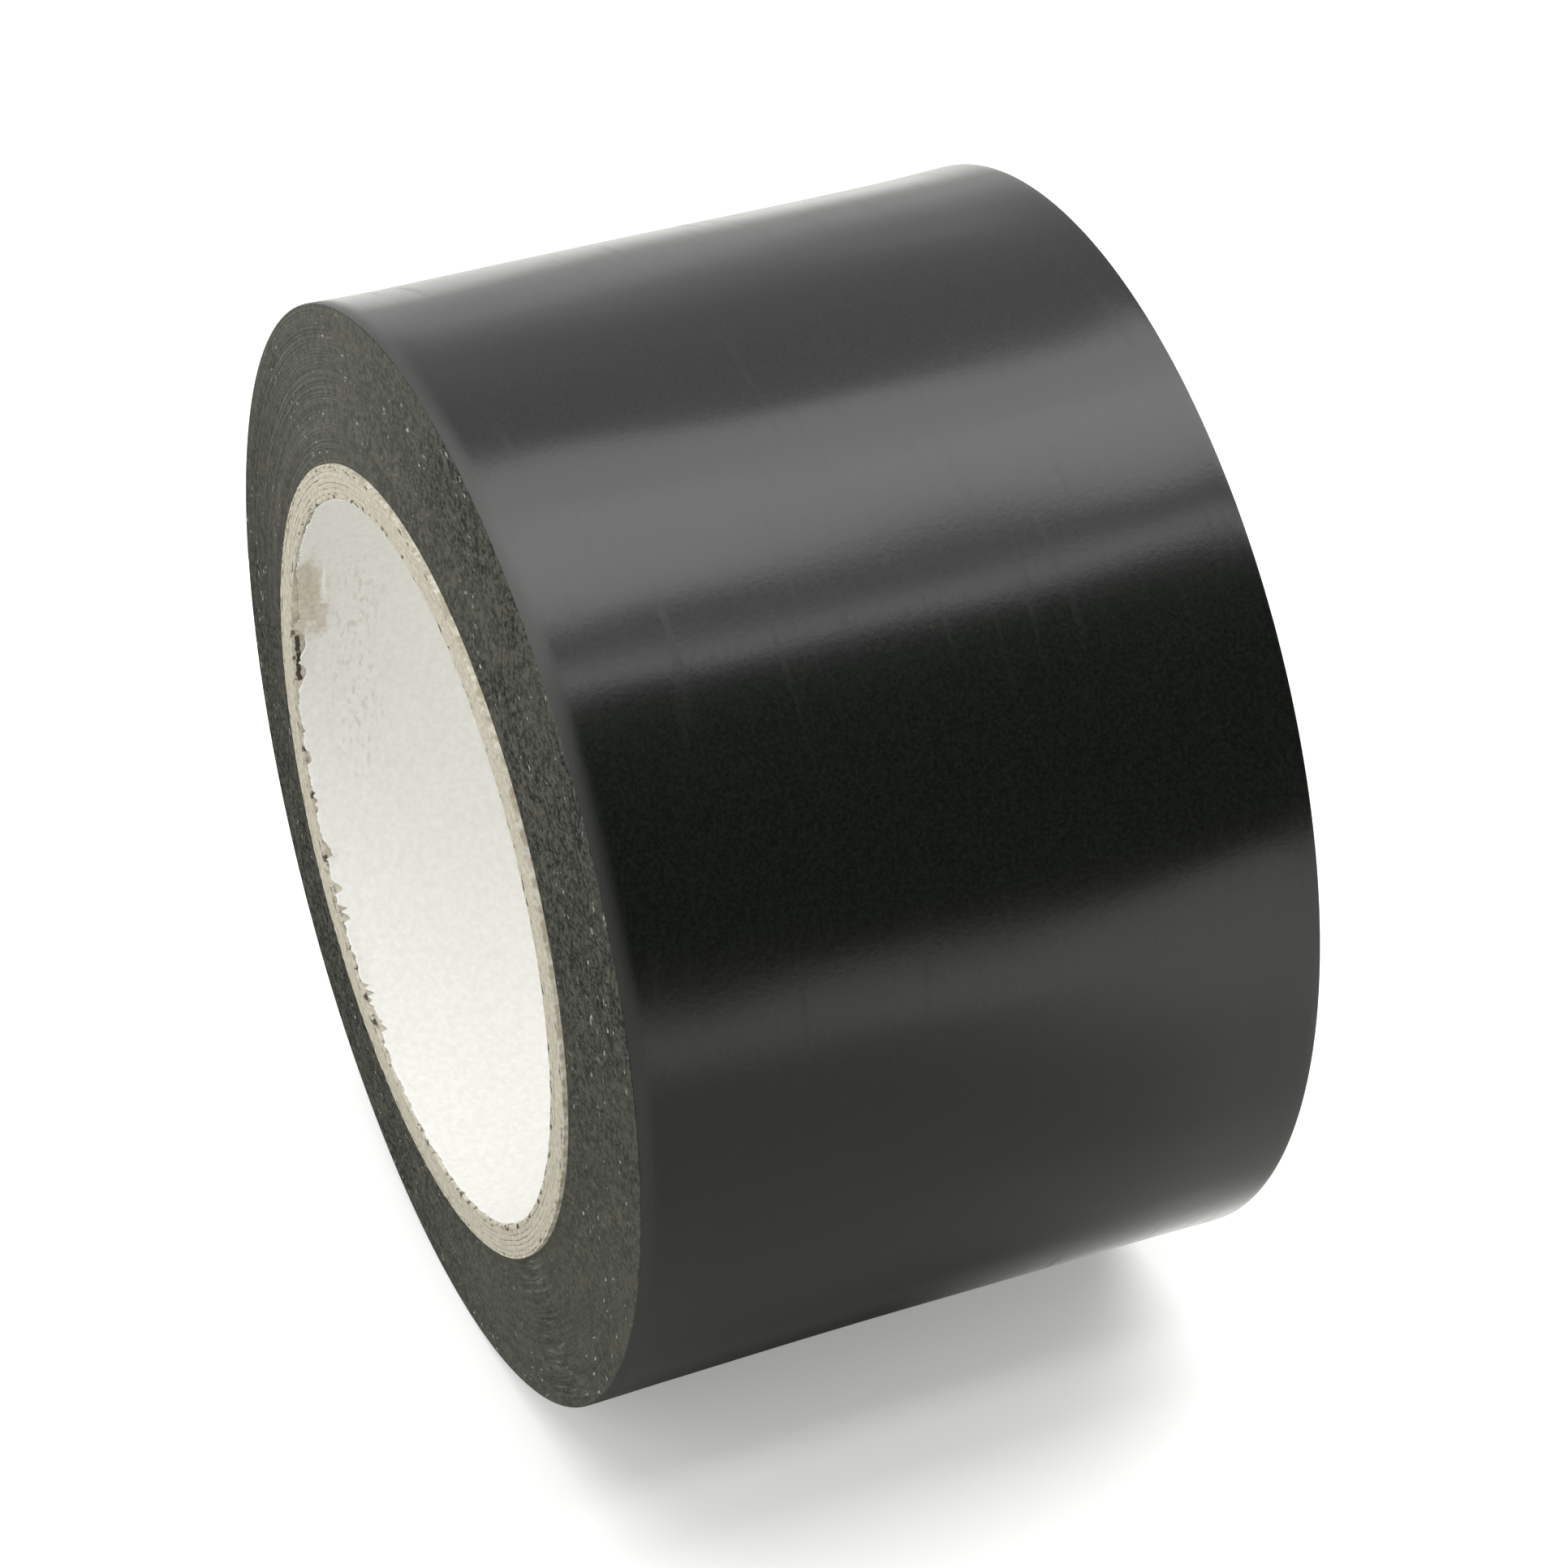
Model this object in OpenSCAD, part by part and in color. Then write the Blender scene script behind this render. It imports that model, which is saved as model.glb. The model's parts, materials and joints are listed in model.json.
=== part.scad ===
// A wide roll of plastic insulating tape on a paper core, standing on its curved side.
// The roll's axis runs along Y, the near end faces -Y, and the roll stands on Z = 0.

/* [Core] */
// Inside diameter of the core, which a dispenser's hub goes into
core_bore_d = 76.2; // [40:0.1:120]
// Thickness of the white paper that lines the bore
liner_t = 0.25; // [0.1:0.05:0.5]
// Thickness of one brown paper ply
ply_t = 0.55; // [0.3:0.05:1]
// Number of brown paper plies
ply_count = 6; // [1:1:12]
// Thickness of the thin ply that closes the outside of the core
top_ply_t = 0.25; // [0.1:0.05:0.5]
// How far the core stands out of the tape at the near end
core_proud = 1.4; // [0:0.1:3]

/* [Tape] */
// Width of the tape
tape_w = 72.5; // [12:0.5:150]
// Thickness of the plastic film
film_t = 0.125; // [0.06:0.005:0.3]
// Thickness of the adhesive under the film
adhesive_t = 0.025; // [0.01:0.005:0.1]
// Number of laps wound on the core
laps = 108; // [2:1:130]

/* [Tape end] */
// Direction, in degrees up from +X, in which the wound laps stop and the loose end begins
tail_at = 140; // [100:1:200]
// Length of film from one bending line of the loose end to the next
tail_step = 13; // [5:0.5:20]
// Number of such lengths in the loose end
tail_count = 3; // [1:1:3]
// Clearance that keeps the loose end off the lap below it
tail_lift = 0.02; // [0.01:0.01:0.1]
// Width of the slit at each bending line
tail_slit = 0.04; // [0.02:0.01:0.2]

/* [Hidden] */
$fn = 96;

liner_r = core_bore_d / 2 + liner_t;
plies_r = liner_r + ply_count * ply_t;
core_r = plies_r + top_ply_t;
core_l = tape_w + core_proud;
pitch = film_t + adhesive_t;
wound_r = core_r + (laps - 1) * pitch;
roll_r = wound_r + pitch;
// Radius of the loose end's adhesive face, and of its outer face, on which it bends
tail_r = roll_r + tail_lift;
bend_r = tail_r + pitch;
step_deg = tail_step / bend_r * 180 / PI;
slit_deg = tail_slit / bend_r * 180 / PI;

// Stands what is drawn round Z, from 0 up to l, on its curved side with its far end in place
module lay(l) {
  translate([0, core_l / 2, roll_r]) rotate([90, 0, 0]) linear_extrude(l) children();
}

module ring(r, t) {
  difference() {
    circle(r = r + t);
    circle(r = r);
  }
}

// The half plane above the X axis, or below it, as far as r
module half_plane(r, above) {
  translate([-r, above ? 0 : -r]) square([2 * r, r]);
}

// What a strip leaves that is wound outwards until its outer face starts again at radius r.
// It is two half discs whose centres lie half a pitch apart, with a step where the strip ends.
module spiral_disc(r) {
  reach = 2 * r;
  intersection() {
    circle(r = r);
    half_plane(reach, true);
  }
  translate([pitch / 2, 0]) intersection() {
    circle(r = r + pitch / 2);
    half_plane(reach, false);
  }
}

// One lap of a strip of thickness t that starts at radius r and ends one pitch further out
module lap(r, t) {
  difference() {
    spiral_disc(r + t);
    spiral_disc(r);
  }
}

// The i-th length of the loose end's strip, from one slit to the next
module tail_length(r, t, i) {
  from = (i - 1) * step_deg + slit_deg / 2;
  to = i * step_deg - slit_deg / 2;
  far = 2 * (r + t);
  intersection() {
    ring(r, t);
    polygon([[0, 0], far * [cos(from), sin(from)], far * [cos(to), sin(to)]]);
  }
}

// White paper, the innermost layer of the core
module core_liner() {
  color("white") lay(core_l) ring(core_bore_d / 2, liner_t);
}

// One brown paper ply, counted outwards from the liner
module core_ply(i) {
  color("tan") lay(core_l) ring(liner_r + (i - 1) * ply_t, ply_t);
}

// Thin brown paper, which the first lap sticks to
module core_top_ply() {
  color("burlywood") lay(core_l) ring(plies_r, top_ply_t);
}

// All laps but the last, stuck to each other
module wound_tape() {
  color("dimgray") lay(tape_w) rotate(tail_at) difference() {
    spiral_disc(wound_r);
    circle(r = core_r);
  }
}

// The last lap's film, up to the loose end
module outer_lap_film() {
  color("gray") lay(tape_w) rotate(tail_at) lap(wound_r + adhesive_t, film_t);
}

// The adhesive coat on the last lap's inner face
module outer_lap_adhesive() {
  color("black") lay(tape_w) rotate(tail_at) lap(wound_r, adhesive_t);
}

// The film of the i-th length of the loose end
module tail_film(i) {
  color("gray") lay(tape_w) rotate(tail_at) tail_length(tail_r + adhesive_t, film_t, i);
}

// The adhesive coat of the i-th length of the loose end
module tail_adhesive(i) {
  color("black") lay(tape_w) rotate(tail_at) tail_length(tail_r, adhesive_t, i);
}

core_liner();
for (i = [1 : ply_count]) {
  core_ply(i);
}
core_top_ply();
wound_tape();
outer_lap_film();
outer_lap_adhesive();
for (i = [1 : tail_count]) {
  tail_film(i);
  tail_adhesive(i);
}
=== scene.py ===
import json
import math
import random

import bmesh
import bpy
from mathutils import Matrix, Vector, noise


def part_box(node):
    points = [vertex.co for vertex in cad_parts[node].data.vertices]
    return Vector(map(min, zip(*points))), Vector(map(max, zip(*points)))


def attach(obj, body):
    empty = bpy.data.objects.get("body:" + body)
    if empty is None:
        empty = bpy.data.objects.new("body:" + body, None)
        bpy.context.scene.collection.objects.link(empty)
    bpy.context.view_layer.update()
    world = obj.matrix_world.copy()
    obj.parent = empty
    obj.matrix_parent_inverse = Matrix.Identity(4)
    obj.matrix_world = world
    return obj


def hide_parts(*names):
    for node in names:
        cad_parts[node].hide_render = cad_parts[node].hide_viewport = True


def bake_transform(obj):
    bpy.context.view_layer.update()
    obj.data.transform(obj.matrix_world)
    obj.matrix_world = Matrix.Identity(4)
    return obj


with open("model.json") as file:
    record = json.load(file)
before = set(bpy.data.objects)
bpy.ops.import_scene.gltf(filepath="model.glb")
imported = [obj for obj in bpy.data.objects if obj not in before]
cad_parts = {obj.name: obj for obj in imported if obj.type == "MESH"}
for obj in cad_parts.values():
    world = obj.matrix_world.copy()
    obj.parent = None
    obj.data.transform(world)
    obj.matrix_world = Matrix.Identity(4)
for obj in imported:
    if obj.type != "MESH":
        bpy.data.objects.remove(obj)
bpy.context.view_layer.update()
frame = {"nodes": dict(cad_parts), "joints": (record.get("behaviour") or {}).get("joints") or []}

MM = 0.001

# Camera. It stands above the roll and well round to the side of its near end, and looks down
# at it through a long lens, so that the end, the bore and the curved side all show.
core_low, core_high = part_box("core_liner")
tape_low, tape_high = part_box("wound_tape")
centre = (core_low + core_high) / 2
near_end = Vector((centre.x, core_low.y, centre.z))
azimuth, elevation = math.radians(66.56), math.radians(36.19)
back = Vector((math.sin(azimuth) * math.cos(elevation), -math.cos(azimuth) * math.cos(elevation),
               math.sin(elevation)))
right = Vector((math.cos(azimuth), math.sin(azimuth), 0))
camera = bpy.data.objects.new("camera", bpy.data.cameras.new("camera"))
camera.data.lens = 113
camera.data.sensor_width = 36
camera_back, camera_right, camera_up = 505.5 * MM, 38 * MM, 8.2 * MM
camera.location = near_end + back * camera_back + right * camera_right + back.cross(right) * camera_up
camera.rotation_euler = back.to_track_quat("Z", "Y").to_euler()
bpy.context.scene.collection.objects.link(camera)
bpy.context.scene.camera = camera

# Core liner. A strip of bleached paper, the innermost layer of the core, glued to the brown plies.
# The saw that cut the core to length left its near edge ragged, torn back and lifted in places.
liner_t = 0.25 * MM
bore_r = (core_high.x - core_low.x) / 2 - liner_t
around = 960
liner_depths = [0, 0.25, 0.5, 0.8, 1.2, 1.6, 2, 2.5, 3, 3.3, 3.6, 4.2, 5, 6, 8, 12, 20, 35, 50, 65, 72.9]


def on_roll(radius, y, angle):
    """The point at that distance from the roll's axis, angle counted up from +X."""
    return Vector((centre.x + radius * math.cos(angle), y, centre.z + radius * math.sin(angle)))


def round_roll(point):
    """The distance of a point from the roll's axis, and its angle up from +X, in 0 to 2 pi."""
    x, z = point.x - centre.x, point.z - centre.z
    return math.hypot(x, z), math.atan2(z, x) % math.tau


def wobble(angle, lobes, seed):
    """Smooth noise round the roll, from -1 to 1, with about that many lobes."""
    reach = lobes / 4
    return noise.noise(Vector((math.cos(angle) * reach, math.sin(angle) * reach, seed))) * 1.6


def bump(angle, middle_deg, half_width_deg):
    """1 at the middle, and 0 from the half width outwards."""
    off = abs(math.degrees(angle) - middle_deg) / half_width_deg
    return 0.0 if off >= 1 else (1 - off * off) ** 2


def spun(outline, steps, closed=True, turn=math.tau):
    """A surface swept round the roll's axis by an outline of (radius, y) corners."""
    mesh = bmesh.new()
    corners = [mesh.verts.new(on_roll(radius, y, 0)) for radius, y in outline]
    ends = corners[1:] + corners[:1] if closed else corners[1:]
    edges = [mesh.edges.new(pair) for pair in zip(corners, ends)]
    bmesh.ops.spin(mesh, geom=corners + edges, cent=centre, axis=(0, -1, 0), angle=turn, steps=steps,
                   use_merge=turn == math.tau)
    return mesh


def piece(name, mesh, finishes, sharp_deg=40):
    """Turns a finished mesh into an object with its materials, smooth but for its sharp edges."""
    bmesh.ops.recalc_face_normals(mesh, faces=mesh.faces)
    data = bpy.data.meshes.new(name)
    mesh.to_mesh(data)
    mesh.free()
    data.shade_smooth()
    data.set_sharp_from_angle(angle=math.radians(sharp_deg))
    for finish in finishes:
        data.materials.append(finish.material)
    made = bpy.data.objects.new(name, data)
    bpy.context.scene.collection.objects.link(made)
    return made


class Value:
    """An output in a node tree. Arithmetic on it adds Math nodes."""

    def __init__(self, tree, socket):
        self.tree = tree
        self.socket = socket

    def maths(self, operation, *inputs):
        return self.tree.node("Math", {"operation": operation}, dict(enumerate(inputs)))

    def __add__(self, other):
        return self.maths("ADD", self, other)

    def __sub__(self, other):
        return self.maths("SUBTRACT", self, other)

    def __rsub__(self, other):
        return self.maths("SUBTRACT", other, self)

    def __mul__(self, other):
        return self.maths("MULTIPLY", self, other)

    __radd__ = __add__
    __rmul__ = __mul__

    def __abs__(self):
        return self.maths("ABSOLUTE", self)

    def step(self, low, high):
        """0 on low's side, 1 on high's, and smooth between them."""
        inputs = {"Value": self, "From Min": low, "From Max": high}
        return self.tree.node("MapRange", {"interpolation_type": "SMOOTHSTEP"}, inputs)

    def near(self, middle, half_width):
        """1 at the middle, falling smoothly to 0 at the half width."""
        return 1 - abs(self - middle).step(0, half_width)


class Tree:
    """A node tree, with the one method that adds a node to it."""

    def __init__(self, owner):
        owner.use_nodes = True
        self.nodes = owner.node_tree.nodes
        self.links = owner.node_tree.links

    def node(self, kind, settings=None, inputs=None, output=0):
        made = self.nodes.new("ShaderNode" + kind)
        for key, value in (settings or {}).items():
            setattr(made, key, value)
        self.feed(made, inputs or {})
        return Value(self, made.outputs[output])

    def feed(self, node, inputs):
        """Gives a node's sockets their values, or links to them."""
        for key, value in inputs.items():
            if isinstance(value, Value):
                self.links.new(value.socket, node.inputs[key])
            elif node.inputs[key].type == "RGBA":
                node.inputs[key].default_value = (*value, 1)
            else:
                node.inputs[key].default_value = value


class Finish(Tree):
    """A material of one Principled shader, whose patterns are laid out round the roll's axis."""

    def __init__(self, name, sockets):
        self.material = bpy.data.materials.new(name)
        super().__init__(self.material)
        self.shader = self.nodes["Principled BSDF"]
        self.feed(self.shader, sockets)
        place = self.node("TexCoord", output="Object")
        self.place = self.node("Mapping", inputs={"Vector": place, "Location": -near_end})
        self.x, self.depth, self.z = [
            self.node("SeparateXYZ", inputs={0: self.place}, output=output) for output in range(3)]
        self.radius = self.node("VectorMath", {"operation": "LENGTH"},
                                {0: self.vector(self.x, 0, self.z)}, output="Value")
        self.angle = self.x.maths("ARCTAN2", self.z, self.x)

    def vector(self, x, y, z):
        return self.node("CombineXYZ", inputs={"X": x, "Y": y, "Z": z})

    def noise(self, per_metre, detail=2, place=None, roughness=0.5):
        inputs = {"Vector": place or self.place, "Scale": per_metre, "Detail": detail,
                  "Roughness": roughness}
        return self.node("TexNoise", inputs=inputs)

    def blend(self, share, first, second):
        """A colour that goes from the first to the second as the share goes from 0 to 1."""
        return self.node("Mix", {"data_type": "RGBA"}, {0: share, 6: first, 7: second}, output=2)

    def colour(self, base_colour):
        self.feed(self.shader, {"Base Color": base_colour})

    def relief(self, height, depth, strength=1.0):
        """Lets the height, from 0 to 1, stand out by that depth in metres."""
        inputs = {"Height": height, "Distance": depth, "Strength": strength}
        self.feed(self.shader, {"Normal": self.node("Bump", inputs=inputs)})


liner_paper = Finish("bleached_paper", {"Roughness": 0.8, "Specular IOR Level": 0.3})
ragged = liner_paper.noise(420, 5, roughness=0.8) - 0.5
patch = (liner_paper.angle + 0.45 * ragged).near(math.radians(165), math.radians(16)) * (
    liner_paper.depth + 6 * MM * ragged).step(4.8 * MM, 1.8 * MM)
rubbed = patch.step(0.05, 0.8) * (0.55 + 0.4 * liner_paper.noise(1500, 4, roughness=0.8).step(0.35, 0.65))
scuffs = liner_paper.noise(1, 4, liner_paper.vector(liner_paper.x * 760, liner_paper.depth * 1900,
                                                    liner_paper.z * 760))
scuffed = (scuffs.step(0.53, 0.66) * liner_paper.depth.near(7 * MM, 5.5 * MM)
           * abs(liner_paper.angle).step(math.radians(150), math.radians(168)))
white = liner_paper.blend(liner_paper.noise(1300, 4, roughness=0.7).step(0.3, 0.7),
                          (0.87, 0.855, 0.82), (0.94, 0.93, 0.905))
stained = liner_paper.blend(scuffed * 0.5, white, (0.60, 0.55, 0.46))
stained = liner_paper.blend(rubbed, stained, (0.58, 0.505, 0.385))
crease_depth = 3.4 * MM
# Painted highlight: the liner's crease near 161 degrees is coloured paler along its fold.
crease_highlight = liner_paper.depth.near(crease_depth, 0.3 * MM) * liner_paper.angle.near(
    math.radians(161), math.radians(7))
liner_paper.colour(liner_paper.blend(crease_highlight, stained, (0.96, 0.95, 0.93)))
liner_paper.relief(liner_paper.noise(2400, 4, roughness=0.65), 0.08 * MM, 0.8)


def torn_back(angle):
    """How far the saw and handling have taken the liner back from the core's near edge."""
    where = math.degrees(angle)
    teeth = (where / 2.6 + 1.3 * wobble(angle, 44, 5.3)) % 1 * max(0.1, wobble(angle, 70, 9.1) + 0.5)
    rough = 0.2 + 0.8 * bump(angle, 224, 52)
    fine = 0.22 * abs(wobble(angle, 420, 3.1))
    torn = 0.5 * bump(angle, 167, 10) + 1.2 * bump(angle, 175.2, 4) + 1.1 * bump(angle, 181.3, 3.6)
    return (0.15 + 1.35 * teeth * rough + fine + torn + 0.5 * bump(angle, 242, 4)) * MM


def lifted(angle):
    """How far the liner's edge has come away from the ply behind it."""
    return (0.3 * bump(angle, 178, 5) + 0.3 * bump(angle, 232, 8)
            + 0.25 * max(0.0, wobble(angle, 60, 1.3))) * MM


outline = [(bore_r + liner_t / 2, core_low.y + depth_mm * MM) for depth_mm in liner_depths]
mesh = spun(outline, around, closed=False)
fringe = 9 * MM
curled = 1.8 * MM
for vert in mesh.verts:
    radius, angle = round_roll(vert.co)
    inside = vert.co.y - core_low.y
    share = max(0.0, 1 - inside / fringe)
    curl = max(0.0, 1 - inside / curled) ** 2
    crease = 0.25 * MM * bump(angle, 162, 11) * max(0.0, 1 - abs(inside - 3.3 * MM) / (0.5 * MM))
    vert.co = on_roll(radius - lifted(angle) * curl - crease, vert.co.y + torn_back(angle) * share, angle)
core_liner = piece("core_liner_sheet", mesh, [liner_paper])
thickness = core_liner.modifiers.new("thickness", "SOLIDIFY")
thickness.thickness = liner_t
thickness.offset = 0
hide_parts("core_liner")
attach(core_liner, "roll")

# Core plies. Six strips of brown board, wound on the liner and glued one on the other. Their cut
# ends are slightly fuzzy, and here and there two plies have parted and left a slit. Painted shadow
# darkens the gaps behind the torn liner, a line along its lower left edge and small voids between plies.
brown_board = Finish("brown_board", {"Roughness": 0.9, "Specular IOR Level": 0.2})
fibre = brown_board.noise(1500, 5, roughness=0.7)
ringwise = brown_board.noise(1, 3, brown_board.vector(brown_board.radius * 3200, brown_board.x * 60,
                                                      brown_board.z * 60))
tone = brown_board.blend(fibre.step(0.3, 0.72), (0.49, 0.44, 0.345), (0.72, 0.675, 0.58))
tone = brown_board.blend(ringwise.step(0.5, 0.85) * 0.3, tone, (0.33, 0.29, 0.23))
voids = brown_board.noise(1, 2, brown_board.vector(brown_board.radius * 1800, brown_board.x * 900,
                                                   brown_board.z * 900))
parted = brown_board.radius.near(bore_r + 0.5 * MM, 0.7 * MM) + 0.8 * brown_board.radius.near(
    bore_r + 3.5 * MM, 0.6 * MM)
inside_mouth = brown_board.radius.step(bore_r + 0.55 * MM, bore_r + 0.35 * MM)
# Painted shadow inside the gaps where the liner is torn back and lifted, near 175 and 179 degrees.
slit_shadow = (brown_board.angle.near(math.radians(175.2), math.radians(2.6))
         + abs(brown_board.angle).near(math.radians(178.7), math.radians(2.2))).step(0.15, 0.5)
slit_shadow = slit_shadow * abs(brown_board.depth - 0.25 * MM - 0.8 * MM * voids).step(0.34 * MM, 0.2 * MM)
# Painted shadow: a broken dark line along the liner's lower left edge, where its teeth lift.
gap_shadow_line = (abs(brown_board.angle).step(math.radians(95), math.radians(110))
            * brown_board.z.step(0, -4 * MM)
            * brown_board.depth.near(0.4 * MM, 0.35 * MM) * voids.step(0.42, 0.56))
# Painted shade in small voids between parted plies; all three marks are summed and blended dark.
void_shade = voids.step(0.55, 0.63) * parted * brown_board.depth.step(0.5 * MM, 0.3 * MM)
painted_shade = void_shade + inside_mouth * (slit_shadow + gap_shadow_line * 0.5)
tone = brown_board.blend(painted_shade.step(0, 1), tone, (0.07, 0.06, 0.05))
burr = brown_board.angle.near(math.radians(171.6), math.radians(1.1)).step(0.2, 0.6) * inside_mouth
tone = brown_board.blend(burr * brown_board.depth.near(0.7 * MM, 0.6 * MM), tone, (0.92, 0.91, 0.88))
brown_board.colour(tone)
brown_board.relief(fibre, 0.12 * MM, 0.6)


def ply(name, finish, thickness, seed):
    """One ply of the core: a ring whose cut ends are soft at their corners."""
    low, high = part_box(name)
    outer = (high.x - low.x) / 2
    inner = outer - thickness
    soft = 0.03 * MM
    near, far = low.y, high.y
    across = [inner + (outer - inner) * share for share in (0.12, 0.35, 0.65, 0.88)]
    outline = [(inner, near + soft), *[(radius, near) for radius in across], (outer, near + soft),
               (outer, far - soft), *[(radius, far) for radius in reversed(across)], (inner, far - soft)]
    mesh = spun(outline, around // 2)
    for vert in mesh.verts:
        radius, angle = round_roll(vert.co)
        corner = min(radius - inner, outer - radius) < 0.05 * (outer - inner)
        side = 1 if vert.co.y < centre.y else -1
        in_from_end = min(vert.co.y - near, far - vert.co.y)
        fuzz = 0.05 * wobble(angle, 700, seed + radius / MM) + 0.05 * wobble(angle, 14, seed)
        slit = max(0.0, wobble(angle, 120, seed * 1.7 + round(radius / MM, 1)) - 0.3) * 1.1
        moved = in_from_end + (abs(fuzz) + (slit if corner else 0)) * MM
        end = near if side > 0 else far
        vert.co = on_roll(radius, end + side * moved, angle)
    made = piece(name + "_board", mesh, [finish], 60)
    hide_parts(name)
    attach(made, "roll")


board_t = 0.55 * MM
ply_names = sorted(node for node in frame["nodes"] if node.startswith("core_ply_"))
for number, node in enumerate(ply_names):
    ply(node, brown_board, board_t, 2.3 + number * 1.9)

# Core top ply. Thin brown paper that closes the outside of the core. Its cut edge is coloured
# paler than the board under it.
pale_edge = Finish("pale_top_ply_paper", {"Roughness": 0.8, "Specular IOR Level": 0.25})
pale_edge.colour(pale_edge.blend(pale_edge.noise(1300, 4).step(0.35, 0.7), (0.47, 0.415, 0.315),
                                 (0.78, 0.74, 0.64)))
top_ply_t = 0.25 * MM
ply("core_top_ply", pale_edge, top_ply_t, 19.0)

# Wound tape. All laps but the last, each a lap of film on its adhesive. Uneven tension has left
# their slit edges a tenth of a millimetre or two in or out, and the inner laps have slid out a
# millimetre towards the near end.
pitch = 0.15 * MM
core_r = (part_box("core_top_ply")[1].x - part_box("core_top_ply")[0].x) / 2
tail_start = math.radians(140)
wound_laps = round(((tape_high.z - tape_low.z) / 2 - core_r) / pitch)
lap_steps = 192
random.seed(11)
lap_shift = [random.uniform(-1, 1) for lap in range(wound_laps + 2)]

slit_edges = Finish("slit_film_edges", {"Roughness": 0.7, "Specular IOR Level": 0.12})
grain = slit_edges.noise(1750, 3, roughness=0.8)
patchy = slit_edges.noise(640, 5, roughness=0.7)
broad = slit_edges.noise(60, 2)
lap_lines = slit_edges.noise(1, 2, slit_edges.vector(slit_edges.radius * 7400, slit_edges.x * 70,
                                                     slit_edges.z * 70))
ledge_glint_and_shade = slit_edges.noise(1, 2, slit_edges.vector(slit_edges.radius * 2600, slit_edges.x * 210,
                                                  slit_edges.z * 210))
stepped = slit_edges.angle.near(math.radians(-48), math.radians(11))
# Painted sheen: the laps' ends are coloured lighter round 135 and 315 degrees, where their edges catch
# the light.
painted_lap_sheen = (slit_edges.x * slit_edges.z).step(0.0011, -0.0012)
edge_tone = slit_edges.blend(grain.step(0.38, 0.62), (0.012, 0.015, 0.013), (0.102, 0.100, 0.083))
edge_tone = slit_edges.blend(lap_lines.step(0.5, 0.75) * 0.5, edge_tone, (0.020, 0.023, 0.022))
edge_tone = slit_edges.blend(patchy.step(0.50, 0.66) * 0.6, edge_tone, (0.130, 0.122, 0.096))
edge_tone = slit_edges.blend(patchy.step(0.46, 0.30) * 0.8, edge_tone, (0.018, 0.023, 0.023))
edge_tone = slit_edges.blend(broad.step(0.45, 0.7) * 0.25, edge_tone, (0.105, 0.103, 0.086))
edge_tone = slit_edges.blend(painted_lap_sheen * 0.34, edge_tone, (0.150, 0.147, 0.125))
# Painted highlight and shade on the stepped laps round -48 degrees: pale arcs for lap edges catching the
# light, dark ones for the shade beside them.
edge_tone = slit_edges.blend(ledge_glint_and_shade.step(0.56, 0.66) * stepped * 0.75, edge_tone, (0.22, 0.215, 0.19))
edge_tone = slit_edges.blend(ledge_glint_and_shade.step(0.44, 0.34) * stepped * 0.5, edge_tone, (0.012, 0.015, 0.014))
dust = slit_edges.noise(1, 2, slit_edges.vector(slit_edges.radius * 1500, slit_edges.x * 850,
                                                slit_edges.z * 850))
dust = dust.step(0.68, 0.73) * slit_edges.noise(70, 2).step(0.42, 0.56)
slit_edges.colour(slit_edges.blend(dust, edge_tone, (0.50, 0.50, 0.47)))
slit_edges.relief(lap_lines + grain + patchy, 0.06 * MM, 0.7)


def growth(turns):
    """How many pitches the winding has grown: each lap is two half circles, the second off centre."""
    part = turns % 1
    return math.floor(turns) + (0 if part < 0.5 else (1 + math.cos(math.tau * part)) / 2)


def edge_in(lap, angle):
    """How far the edge of a lap stands in from the flat of the roll's end."""
    last = wound_laps + 1 - lap
    uneven = 0.035 * (lap_shift[min(lap, wound_laps + 1)] + 1) + 0.07 * (
        1 + noise.noise(Vector((math.cos(angle), math.sin(angle), lap * 0.16))))
    proud = 0.08 * bump(angle, 312 + 3 * lap_shift[lap // 5], 13) * (lap % 5 == 0)
    return (uneven - proud + 0.12 * max(0.0, 1 - last / 5)) * MM


def slid(lap):
    """How far a lap has slid along the roll: the inner laps stand out further at the near end."""
    return 1.0 * MM * (1 - lap / wound_laps) ** 1.3


low_y, high_y = tape_low.y, tape_high.y
wound_r = core_r + wound_laps * pitch
edge_soft = 0.035 * MM
laps_out = [(core_r + pitch * half / 2, (half % 2 == 0) * edge_soft)
            for half in range(2 * wound_laps + 1)]
hollow_r, hollow_in = wound_r - 0.6 * MM, 1.5 * MM
mesh = spun([(radius, low_y + soft) for radius, soft in laps_out]
            + [(hollow_r, low_y + hollow_in), (hollow_r, high_y - hollow_in)]
            + [(radius, high_y - soft) for radius, soft in reversed(laps_out)], lap_steps)
for vert in mesh.verts:
    radius, angle = round_roll(vert.co)
    turns = (angle - tail_start) / math.tau % 1
    lap = int((radius - core_r) / pitch - 0.01)
    inward = edge_in(lap, angle)
    y = vert.co.y + (inward if vert.co.y < centre.y else -inward) - slid(lap)
    grown = pitch * growth(turns) * (radius - core_r) / (wound_r - core_r)
    vert.co = on_roll(radius + grown, y, angle)
wound_tape = piece("wound_laps", mesh, [slit_edges], 30)
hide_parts("wound_tape")
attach(wound_tape, "roll")

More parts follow.
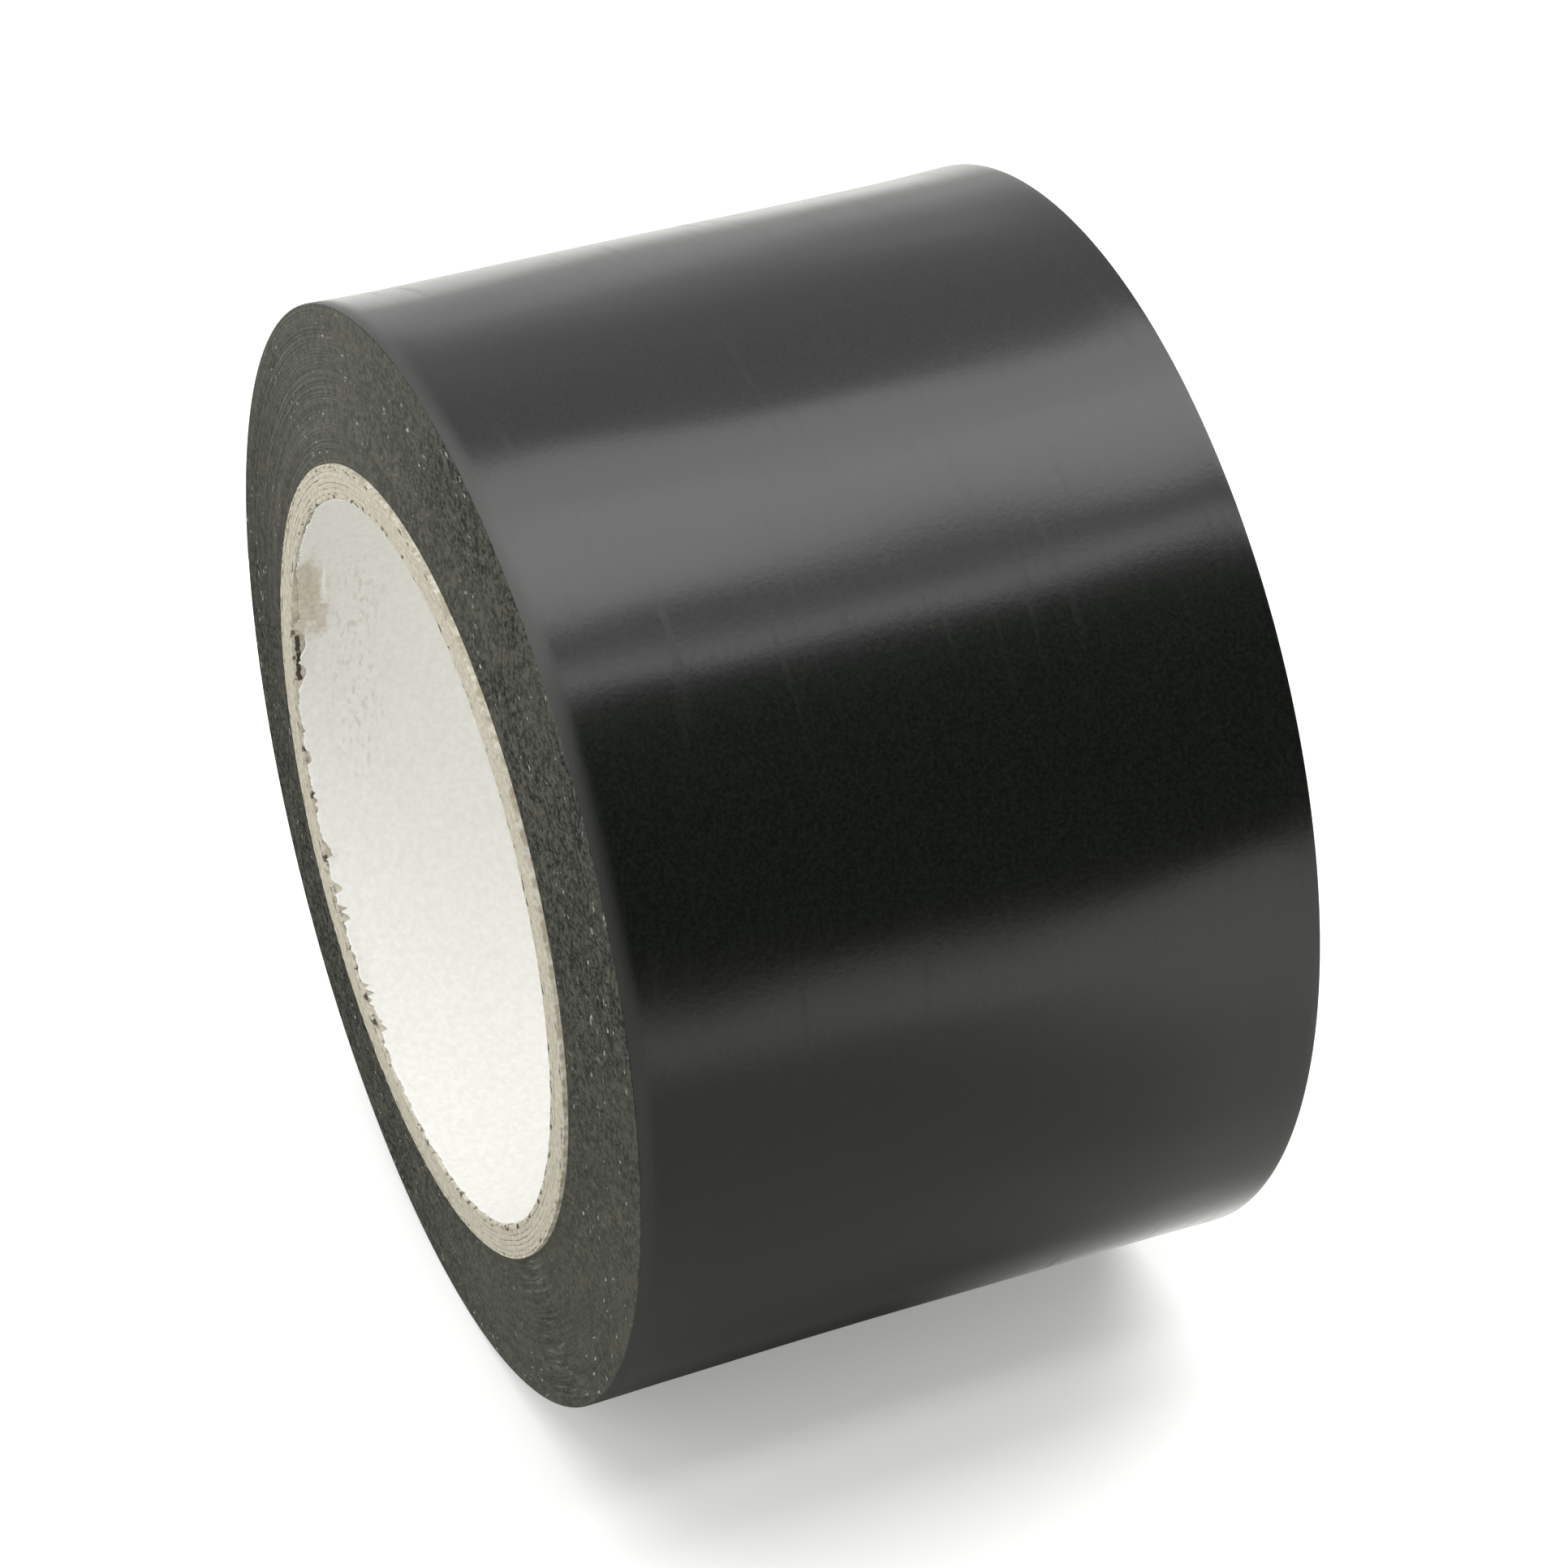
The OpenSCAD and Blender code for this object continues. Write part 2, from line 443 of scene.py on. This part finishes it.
# Outer lap. The last lap of film, semi-gloss on its outer face and duller from handling at its near
# edge. It is pressed into faint waves by the laps under it, so the reflections in it waver.
film_faces = Finish("glossy_film", {"IOR": 1.52})
fine = film_faces.noise(1900, 3, roughness=0.6)
scuff = film_faces.noise(1, 4, film_faces.vector(film_faces.x * 60, film_faces.depth * 700,
                                                 film_faces.z * 60))
handled = film_faces.depth.step(3.8 * MM, 1.6 * MM)
film_faces.feed(film_faces.shader, {
    "Roughness": 0.17 + 0.07 * fine + 0.06 * scuff.step(0.55, 0.8) + 0.26 * handled})
mottle = film_faces.noise(2400, 2, roughness=0.8).step(0.3, 0.75)
black = film_faces.blend(mottle, (0.0040, 0.0050, 0.0042), (0.0110, 0.0125, 0.0105))
film_faces.colour(film_faces.blend(handled * 0.6, black, (0.045, 0.047, 0.042)))
film_faces.relief(fine, 0.015 * MM, 0.5)

adhesive = Finish("rubber_adhesive", {"Base Color": (0.014, 0.014, 0.013), "Roughness": 0.5})
adhesive.relief(adhesive.noise(1500, 3), 0.04 * MM, 0.7)

film_steps = 384
hair = 0.02 * MM
columns = 28


def waves(angle, y):
    """How far the film's outer face has sunk at that point; its two edges stay true."""
    spot = on_roll(wound_r, y, angle)
    long_waves = noise.noise(Vector((spot.x * 64, y * 24, spot.z * 64 + 4)))
    ripples = noise.noise(Vector((spot.x * 150, y * 42, spot.z * 150 + 9)))
    from_edge = min(1.0, min(y - low_y, high_y - y) / (7 * MM))
    return min(0.0, 0.30 * long_waves + 0.075 * ripples - 0.20) * from_edge * MM


def film_strip(first_turn, turns, steps):
    """A strip of tape that starts that many turns past the outer lap's start, and ends a hair short."""
    turns -= hair / (math.tau * wound_r)
    corner = 0.03 * MM
    soft = edge_in(wound_laps + 1, 0) - 0.04 * MM
    tape_near, tape_far = low_y + soft, high_y - soft
    width = tape_far - tape_near
    face = [tape_near + width * (0.5 - 0.5 * math.cos(math.pi * i / columns)) for i in range(columns + 1)]
    bulge = 0.01 * MM
    section = [(0, tape_near), (pitch - corner, tape_near - bulge), *[(pitch, y) for y in face[1:-1]],
               (pitch - corner, tape_far + bulge), (0, tape_far), *[(0, y) for y in face[-2:0:-1]]]
    mesh = spun([(wound_r + out, y) for out, y in section], steps, turn=math.tau * turns * 0.999)
    for index, vert in enumerate(mesh.verts):
        done = first_turn + turns * (index // len(section)) / steps
        out, y = section[index % len(section)]
        angle = tail_start + math.tau * done
        clear = 0.02 * MM if first_turn >= 1 else 0
        vert.co = on_roll(wound_r + out + pitch * growth(done) + waves(angle, y) + clear, y, angle)
    mesh.verts.index_update()
    for quad in mesh.faces:
        quad.material_index = int(not any(section[vert.index % len(section)][0] for vert in quad.verts))
    bmesh.ops.holes_fill(mesh, edges=[edge for edge in mesh.edges if edge.is_boundary])
    return mesh


outer_lap = piece("outer_lap", film_strip(0, 1, film_steps), [film_faces, adhesive])
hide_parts("outer_lap_film", "outer_lap_adhesive")
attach(outer_lap, "roll")

# Loose end. The last stretch of the same film, cut straight across. It is one strip on the roll;
# here it is in three lengths, one for each of the record's joints.
peels = frame["joints"]
tail_step, tail_steps = 13 * MM, 28
step_turn = tail_step / math.tau / round_roll(Vector(peels[0]["pos_m"]))[0]
bend_reach = 4.5 * MM
tail_ends = [0, 0.5 * step_turn, 1.5 * step_turn, 3 * step_turn]
for number, joint in enumerate(peels):
    first, last = tail_ends[number], tail_ends[number + 1]
    mesh = film_strip(1 + first, last - first, tail_steps)
    length = piece(f"loose_end_{number + 1}", mesh, [film_faces, adhesive])
    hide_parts(f"tail_film_{number + 1}", f"tail_adhesive_{number + 1}")
    pivot = Vector(joint["pos_m"])
    pivot_angle = round_roll(pivot)[1]
    along = Vector((-math.sin(pivot_angle), 0, math.cos(pivot_angle)))
    start = pivot if number == 0 else pivot - along * bend_reach / 2
    start + along * bend_reach
    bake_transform(length)

# Floor and lights. A white table, a bank of soft lights overhead with a narrow gap in it, a pale
# room behind the roll, and a dark one behind the camera that shows in the film as its deep black.
# The table carries painted light and a painted glow, seen only in reflections and bounced light.
floor_mesh = bmesh.new()
bmesh.ops.create_circle(floor_mesh, cap_ends=True, segments=96, radius=6)
bmesh.ops.translate(floor_mesh, verts=floor_mesh.verts, vec=(0, 0, -0.05 * MM))
floor_data = bpy.data.meshes.new("floor")
floor_mesh.to_mesh(floor_data)
floor_mesh.free()
floor = bpy.data.objects.new("floor", floor_data)
bpy.context.scene.collection.objects.link(floor)
white_table = Finish("white_table", {"Roughness": 0.9, "Specular IOR Level": 0.0})
straight_on = white_table.node("LightPath", output="Is Camera Ray")
# For all but camera rays the table is grey, painted paler behind the roll and past its far end: painted
# light that the film reflects.
beyond = 1 - white_table.x.step(-0.2, 0.02) * white_table.depth.step(0.13, 0.07)
painted_floor_light = white_table.blend(beyond, (0.42, 0.43, 0.40), (0.96, 0.95, 0.92))
white_table.colour(white_table.blend(straight_on, painted_floor_light, (0.93, 0.93, 0.93)))
glossy_ray = white_table.node("LightPath", output="Is Glossy Ray")
# Painted glow: for glossy rays the table glows in a strip under the roll's far half and past its far end,
# strongest near the roll.
under = white_table.x.step(-0.06, 0)
painted_glow = (white_table.depth.step(0.040, 0.096) * white_table.x.step(0.052, 0.026) * (0.12 + 1.3 * under)
        * glossy_ray)
white_table.feed(white_table.shader, {"Emission Strength": 1, "Emission Color": white_table.blend(
    painted_glow + 0.28 * straight_on, (0, 0, 0), (1, 0.99, 0.96))})
floor_data.materials.append(white_table.material)

lights_up = 2.0


def soft_light(name, from_deg, to_deg, brightness):
    """A panel overhead that spans those directions, up from +X, as seen from the roll."""
    high_x = lights_up / math.tan(math.radians(from_deg))
    low_x = lights_up / math.tan(math.radians(to_deg))
    data = bpy.data.lights.new(name, "AREA")
    data.shape = "RECTANGLE"
    data.size, data.size_y = high_x - low_x, 3.6
    data.energy = brightness * math.pi * data.size * data.size_y
    data.color = (0.985, 1, 0.98)
    lamp = bpy.data.objects.new(name, data)
    lamp.location = ((high_x + low_x) / 2, 0.3, centre.z + lights_up)
    bpy.context.scene.collection.objects.link(lamp)


soft_light("front_panel", 62, 68.5, 3.1)
soft_light("middle_panel", 75.5, 99, 3.2)
soft_light("back_panel", 99, 115, 2.3)

fill = bpy.data.lights.new("end_fill", "AREA")
fill.size = 1.4
fill.energy = 18.5
fill_lamp = bpy.data.objects.new("end_fill", fill)
fill_lamp.location = (0.7, -1.5, 1.0)
fill_lamp.rotation_euler = (fill_lamp.location - near_end).to_track_quat("Z", "Y").to_euler()
bpy.context.scene.collection.objects.link(fill_lamp)

world = bpy.data.worlds.new("room")
bpy.context.scene.world = world
room = Tree(world)
direction = room.node("TexCoord", output="Generated")
toward_camera = room.node("VectorMath", {"operation": "DOT_PRODUCT"},
                          {0: direction, 1: (back.x, back.y, 0)}, output="Value")
height = room.node("SeparateXYZ", inputs={0: direction}, output="Z")
horizon = toward_camera.step(0, -0.5) * height.step(0.42, 0.05)
shade = 0.74 - 0.71 * toward_camera.step(-0.35, 0.25) + 0.28 * horizon
seen = room.node("LightPath", output="Is Camera Ray")
room.feed(room.nodes["Background"], {"Color": (1, 1, 1), "Strength": seen + (1 - seen) * shade})

bpy.context.scene.view_settings.view_transform = "Standard"
